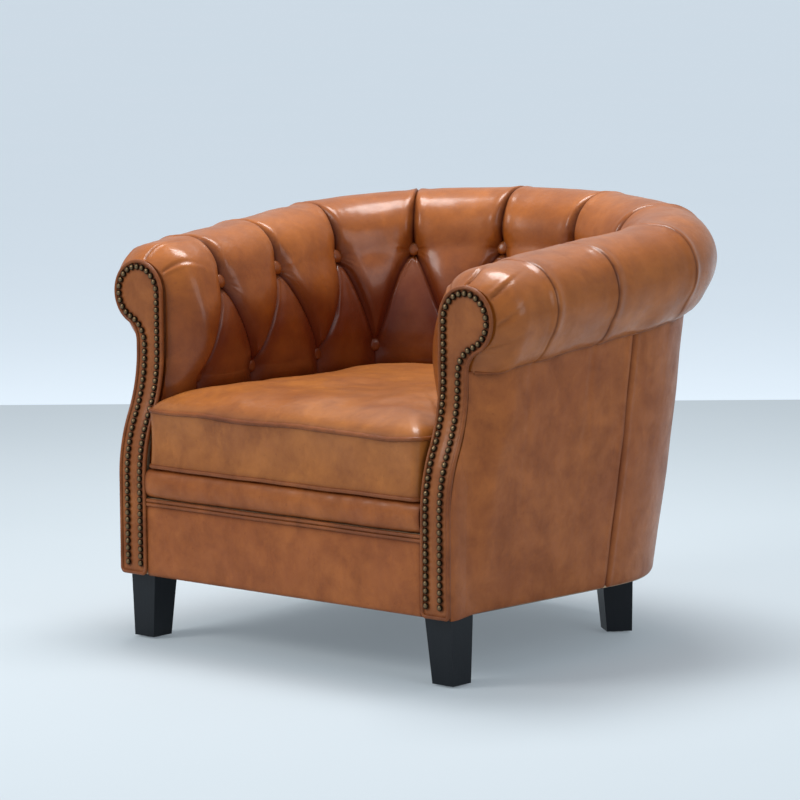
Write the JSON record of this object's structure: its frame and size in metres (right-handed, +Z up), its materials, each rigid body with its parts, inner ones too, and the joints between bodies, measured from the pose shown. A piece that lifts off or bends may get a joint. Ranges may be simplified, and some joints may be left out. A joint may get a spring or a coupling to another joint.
{
  "type": "tub armchair",
  "caption": "Deep-buttoned leather tub armchair with rolled arms and back, studded arm fronts, a loose seat cushion and short square feet.",
  "frame": {"origin": "on the floor, at the centre of the chair's footprint", "axes": "+Z up; the sitter faces -Y; +X is the sitter's left, across the arms"},
  "size_m": [0.8812, 0.7846, 0.6881],
  "materials": {
    "cover_leather": "semi-gloss hand-waxed cognac leather",
    "cushion_leather": "semi-gloss hand-waxed cognac leather",
    "nail_brass": "antiqued, darkened in the rims",
    "foot_paint": "black satin lacquer",
    "glide": "matte",
    "frame_wood": "sawn beech",
    "steel": "bright drawn",
    "jute": "coarse weave",
    "black_cloth": "non-woven cloth",
    "stuffing": "fibre wadding",
    "zip": "woven tape with nylon coil",
    "zip_metal": "antiqued"
  },
  "bodies": {
    "chair": {"arm_rail_left": "frame_wood", "arm_rail_right": "frame_wood", "back_top_rail": "frame_wood", "back_uprights": "frame_wood", "back_webbing": "jute", "corner_blocks": "frame_wood", "dust_cover": "black_cloth", "facing_left": "cover_leather", "facing_right": "cover_leather", "facing_welt_left": "cover_leather", "facing_welt_right": "cover_leather", "foot_front_left": "foot_paint", "foot_front_right": "foot_paint", "foot_glides": "glide", "foot_rear_left": "foot_paint", "foot_rear_right": "foot_paint", "front_border": "cover_leather", "front_double_welt": "cover_leather", "front_rail": "frame_wood", "hanger_bolts": "steel", "inside_arm_left": "cover_leather", "inside_arm_right": "cover_leather", "inside_back": "cover_leather", "nails_left": "nail_brass", "nails_right": "nail_brass", "outside_back": "cover_leather", "outside_side_left": "cover_leather", "outside_side_right": "cover_leather", "platform_cover": "black_cloth", "platform_pad": "stuffing", "post_left": "frame_wood", "post_right": "frame_wood", "rear_rail": "frame_wood", "seat_hessian": "jute", "seat_lip": "cover_leather", "seat_springs": "steel", "side_rail_left": "frame_wood", "side_rail_right": "frame_wood", "spring_clips": "steel", "tack_rail": "frame_wood", "tuft_buttons": "cover_leather"},
    "cushion": {"cushion_bottom": "cushion_leather", "cushion_boxing": "cushion_leather", "cushion_filling": "stuffing", "cushion_piping": "cushion_leather", "cushion_top": "cushion_leather", "cushion_zip": "zip"},
    "zip_slider": {"zip_slider": "zip_metal"}
  },
  "joints": [
    {"name": "cushion_pull", "type": "slide", "parent": "chair", "child": "cushion", "axis": [0, -1, 0], "range_m": [0, 0.45]},
    {"name": "zip_run", "type": "hinge", "parent": "cushion", "child": "zip_slider", "pos_m": [0, -0.13542, 0.3253], "axis": [0, 0, 1], "range_deg": [-48, 0]}
  ]
}
